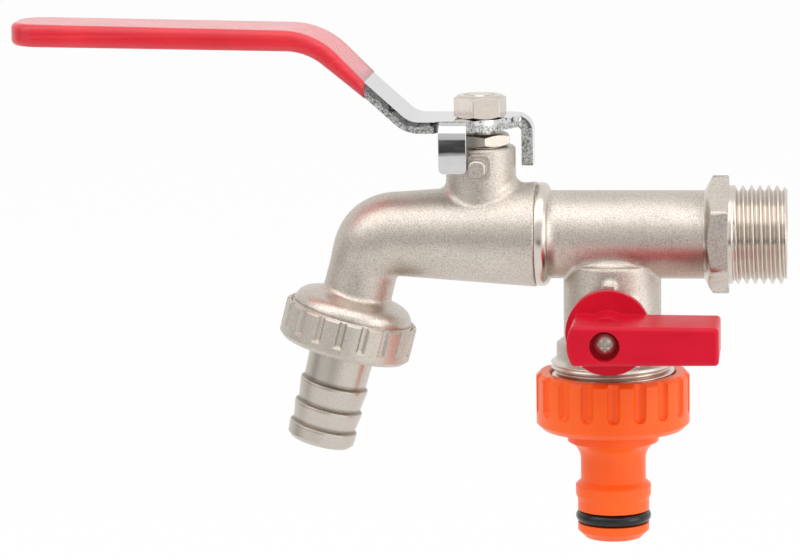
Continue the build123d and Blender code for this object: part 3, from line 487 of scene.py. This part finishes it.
inlet = copy_of("inlet_tail", "inlet_tail_threaded")
cut_thread(inlet.data, Vector((0, 0, 0)), Vector((1, 0, 0)), start=0.0, end=12.3 * MM, crest=10.4775 * MM,
           chamfer=0.9 * MM, plain=0.7 * MM, inner=9.2 * MM)
cut_thread(inlet.data, Vector((BRANCH_X, 0, 0)), Vector((0, 0, -1)), start=27.4 * MM, end=37.6 * MM,
           crest=13.2205 * MM, chamfer=0.8 * MM, plain=0.15 * MM, inner=11.5 * MM)
# Long faces are divided beside the branch's join, so that their smoothing stays close to it
JOIN_LEVELS = (-6.6, -7.4, -8.2, -9.0, -9.8, -10.6, -11.4)
JOIN_SIDES = (5.6, 6.6, 7.6, 8.6, 9.6, 10.6, 11.4)
cuts = [((0, 0, z * MM), (0, 0, 1)) for z in JOIN_LEVELS]
cuts += [((BRANCH_X + side * x * MM, 0, 0), (1, 0, 0)) for side in (-1, 1) for x in JOIN_SIDES]
bm = bmesh.new()
bm.from_mesh(inlet.data)
for place, normal in cuts:
    everything = bm.verts[:] + bm.edges[:] + bm.faces[:]
    bmesh.ops.bisect_plane(bm, geom=everything, dist=MERGE, plane_co=place, plane_no=normal)
bm.to_mesh(inlet.data)
bm.free()
shade(inlet.data)
stand_in(inlet, "inlet_tail")

# Lever: its sheared faces get a look of their own, and its front tab leans in.
# Places on it, in millimetres
TAB_LEFT, TAB_RIGHT = -61.5, -54.5
TAB_BEND_Y, TAB_Y = -8.6, -8.4
PLATE_TOP_Z, TAB_TOP_Z = 25.0, 21.76
NOSE_TAB_X, NOSE_TAB_END_Z = -46, 16
TAB_CUTS = (19.6, 19.2, 18.8, 18.4, 18.0)
# The front tab's knee, in metres, and its lean below
TAB_KNEE_Z = 18.9 * MM
KNEE_HALF = 0.0007
TAB_LEAN = math.tan(math.radians(7.0))
lever = copy_of("lever_arm", "lever_arm_stamped")
lever.data.materials.append(lever_edge)
for polygon in lever.data.polygons:
    n, c = polygon.normal, polygon.center / MM
    front_tab = c.y < TAB_BEND_Y and TAB_LEFT < c.x < TAB_RIGHT and c.z < PLATE_TOP_Z
    edge = (abs(n.x) > 0.7 or n.z < -0.7) if front_tab else abs(n.y) > 0.3
    if not front_tab and c.x > NOSE_TAB_X and n.z < -0.8 and c.z < NOSE_TAB_END_Z:
        edge = True
    if edge:
        polygon.material_index = 1
upper = lever.data.attributes.new("upper", "FLOAT", "POINT")


def spot(vertex):
    """Place of a vertex to a hundredth of a millimetre, shared by the faces that meet there."""
    return tuple(round(v / MM, 2) for v in lever.data.vertices[vertex].co)


top_spots = {spot(vertex) for polygon in lever.data.polygons
             if polygon.material_index == 0 and polygon.normal.z > 0.3 for vertex in polygon.vertices}
for vertex in range(len(lever.data.vertices)):
    upper.data[vertex].value = 1.0 if spot(vertex) in top_spots else 0.0


def on_tab(place):
    """Whether a place is on the straight of the front tab, below its bend."""
    across = TAB_LEFT * MM < place.x < TAB_RIGHT * MM
    return across and place.y < TAB_Y * MM and place.z < TAB_TOP_Z * MM


bm = bmesh.new()
bm.from_mesh(lever.data)
for cut_z in TAB_CUTS:
    faces = [face for face in bm.faces if all(on_tab(v.co) for v in face.verts)]
    rim = dict.fromkeys(edge for face in faces for edge in face.edges)
    rim.update(dict.fromkeys(v for face in faces for v in face.verts))
    bmesh.ops.bisect_plane(bm, geom=faces + list(rim), dist=MERGE, plane_co=(0, 0, cut_z * MM),
                           plane_no=(0, 0, 1))
# The tab hangs straight, and then leans in below a soft knee
for v in bm.verts:
    if on_tab(v.co):
        drop = max(TAB_KNEE_Z + KNEE_HALF - v.co.z, 0)
        ease = drop / (2 * KNEE_HALF)
        v.co.y += TAB_LEAN * (drop - KNEE_HALF if ease > 1 else drop * ease / 2)
bm.to_mesh(lever.data)
bm.free()
shade(lever.data)
stand_in(lever, "lever_arm")

for node in nodes.values():
    shade(node.data)

# Floor: pale, ending a little in front of the tap
FLOOR_Z = -0.125
FLOOR_LEFT, FLOOR_RIGHT = -0.62, 4
FLOOR_FRONT, FLOOR_BACK = -0.40, 9
CAMERA_GLOW = 0.94
MIRROR_GLOW = 0.78
floor_mesh = bpy.data.meshes.new("floor")
corners = [(FLOOR_LEFT, FLOOR_FRONT, FLOOR_Z), (FLOOR_RIGHT, FLOOR_FRONT, FLOOR_Z),
           (FLOOR_RIGHT, FLOOR_BACK, FLOOR_Z), (FLOOR_LEFT, FLOOR_BACK, FLOOR_Z)]
floor_mesh.from_pydata(corners, [], [(0, 1, 2, 3)])
floor = bpy.data.objects.new("floor", floor_mesh)
scene.collection.objects.link(floor)
floor_mat = bpy.data.materials.new("pale_floor")
floor_mat.use_nodes = True
tree = floor_mat.node_tree
tree.nodes.clear()
diffuse = add(tree, "ShaderNodeBsdfDiffuse")
diffuse.inputs["Color"].default_value = (0.86, 0.85, 0.84, 1)
glow = add(tree, "ShaderNodeEmission")
glow.inputs["Color"].default_value = (1, 1, 1, 1)
glow.inputs["Strength"].default_value = 1.0
path = add(tree, "ShaderNodeLightPath")
share = math_node(tree, "MAXIMUM", times(tree, path.outputs["Is Camera Ray"], CAMERA_GLOW),
                  times(tree, mirrored_rays(tree, path), MIRROR_GLOW))
blend = add(tree, "ShaderNodeMixShader")
link(tree, share, blend.inputs[0])
link(tree, diffuse.outputs[0], blend.inputs[1])
link(tree, glow.outputs[0], blend.inputs[2])
out = add(tree, "ShaderNodeOutputMaterial")
link(tree, blend.outputs[0], out.inputs["Surface"])
floor_mesh.materials.append(floor_mat)

# World: white backdrop behind the tap, a room in front of it that is dark just below the horizon.
# Directions are parts of a unit vector, and brightness goes from 0 to 1.
ROOM_STOPS = [(0.0, 0.60), (0.35, 0.50), (0.45, 0.62), (0.52, 0.72), (0.66, 0.80), (0.85, 0.80), (1.0, 0.80)]
ROOM_TINT = (1, 0.985, 0.975)
DARK_WALL = 0.88
RIGHT_CARD = 0.75
LEFT_SHADE = 0.55
BACKDROP = 0.75
BACKDROP_LEFT = 0.45
world = bpy.data.worlds.new("studio")
scene.world = world
world.use_nodes = True
tree = world.node_tree
tree.nodes.clear()
ray = add(tree, "ShaderNodeTexCoord").outputs["Generated"]
height = along(tree, ray, (0, 0, 0), (0, 0, 1))
behind = along(tree, ray, (0, 0, 0), (0, 1, 0))
sideways = along(tree, ray, (0, 0, 0), (1, 0, 0))
ramp = add(tree, "ShaderNodeValToRGB")
ramp.color_ramp.elements[0].position = ROOM_STOPS[0][0]
ramp.color_ramp.elements[1].position = ROOM_STOPS[-1][0]
for stop, _ in ROOM_STOPS[1:-1]:
    ramp.color_ramp.elements.new(stop)
for element, (_, brightness) in zip(ramp.color_ramp.elements, ROOM_STOPS):
    element.color = (*(brightness * tint for tint in ROOM_TINT), 1)
link(tree, remap(tree, height, -1, 1, 0, 1), ramp.inputs["Fac"])
low_wall = times(tree, remap(tree, height, -0.30, -0.22, 0, 1, smooth=True),
                 remap(tree, height, -0.13, -0.04, 1, 0, smooth=True),
                 remap(tree, sideways, 0.12, 0.36, DARK_WALL, 0, smooth=True),
                 remap(tree, sideways, -0.60, -0.32, 0, 1, smooth=True))
card = times(tree, remap(tree, sideways, 0.24, 0.42, 0, 1, smooth=True),
             remap(tree, behind, -0.15, -0.45, 0, 1, smooth=True),
             remap(tree, height, -0.30, -0.20, 0, RIGHT_CARD, smooth=True),
             remap(tree, height, 0.15, 0.40, 1, 0, smooth=True))
shade_left = remap(tree, sideways, -0.995, -0.93, LEFT_SHADE, 1, smooth=True)
level = times(tree, remap(tree, low_wall, 0, 1, 1, 0), shade_left)
room = add(tree, "ShaderNodeBackground")
link(tree, math_node(tree, "ADD", level, card), room.inputs["Strength"])
link(tree, ramp.outputs["Color"], room.inputs["Color"])
white = add(tree, "ShaderNodeBackground")
white.inputs["Color"].default_value = (1, 1, 1, 1)
white.inputs["Strength"].default_value = 1.0
path = add(tree, "ShaderNodeLightPath")
backdrop = times(tree, mirrored_rays(tree, path), remap(tree, behind, -0.05, 0.25, 0, BACKDROP, smooth=True),
                 remap(tree, sideways, -0.95, -0.55, BACKDROP_LEFT, 1, smooth=True))
blend = add(tree, "ShaderNodeMixShader")
link(tree, math_node(tree, "MAXIMUM", path.outputs["Is Camera Ray"], backdrop), blend.inputs[0])
link(tree, room.outputs[0], blend.inputs[1])
link(tree, white.outputs[0], blend.inputs[2])
out = add(tree, "ShaderNodeOutputWorld")
link(tree, blend.outputs[0], out.inputs["Surface"])


# Lamps
CENTRE = Vector((-0.07, 0, -0.01))


def area(name, place, width, length, power):
    """A rectangular lamp that faces the tap."""
    lamp = bpy.data.lights.new(name, "AREA")
    lamp.shape = "RECTANGLE"
    lamp.size = width
    lamp.size_y = length
    lamp.energy = power
    obj = bpy.data.objects.new(name, lamp)
    scene.collection.objects.link(obj)
    obj.location = place
    obj.rotation_mode = "QUATERNION"
    obj.rotation_quaternion = (CENTRE - Vector(place)).to_track_quat("-Z", "Y")


area("over", (-0.07, -0.36, 0.80), width=1.5, length=0.9, power=4.5)
area("left", (-0.70, -0.30, 0.52), width=0.5, length=0.5, power=0.7)
area("right", (0.70, -0.25, 0.15), width=0.5, length=0.7, power=1.7)

# Camera, fitted to the outline
AZIMUTH, ELEVATION, ROLL = math.radians(6.2), math.radians(9.5), math.radians(-0.83)
DISTANCE = 0.85
AIM = Vector((-70.56, 0, -10.07)) * MM
SCALE = 4650.0  # pixels to a metre at the aim
IMAGE_WIDTH = 800
SENSOR = 36.0
back = Vector((math.sin(AZIMUTH) * math.cos(ELEVATION), -math.cos(AZIMUTH) * math.cos(ELEVATION),
               math.sin(ELEVATION)))
cam_data = bpy.data.cameras.new("camera")
cam = bpy.data.objects.new("camera", cam_data)
scene.collection.objects.link(cam)
scene.camera = cam
cam_data.sensor_width = SENSOR
cam_data.lens = SENSOR * SCALE * DISTANCE / IMAGE_WIDTH
cam_data.clip_start = 0.05
cam_data.clip_end = 40
right = Vector((math.cos(AZIMUTH), math.sin(AZIMUTH), 0))
up = back.cross(right)
rolled_right = right * math.cos(ROLL) + up * math.sin(ROLL)
rolled_up = up * math.cos(ROLL) - right * math.sin(ROLL)
cam.matrix_world = Matrix.Translation(AIM + back * DISTANCE) @ Matrix(
    (rolled_right, rolled_up, back)).transposed().to_4x4()

scene.view_settings.view_transform = "Standard"
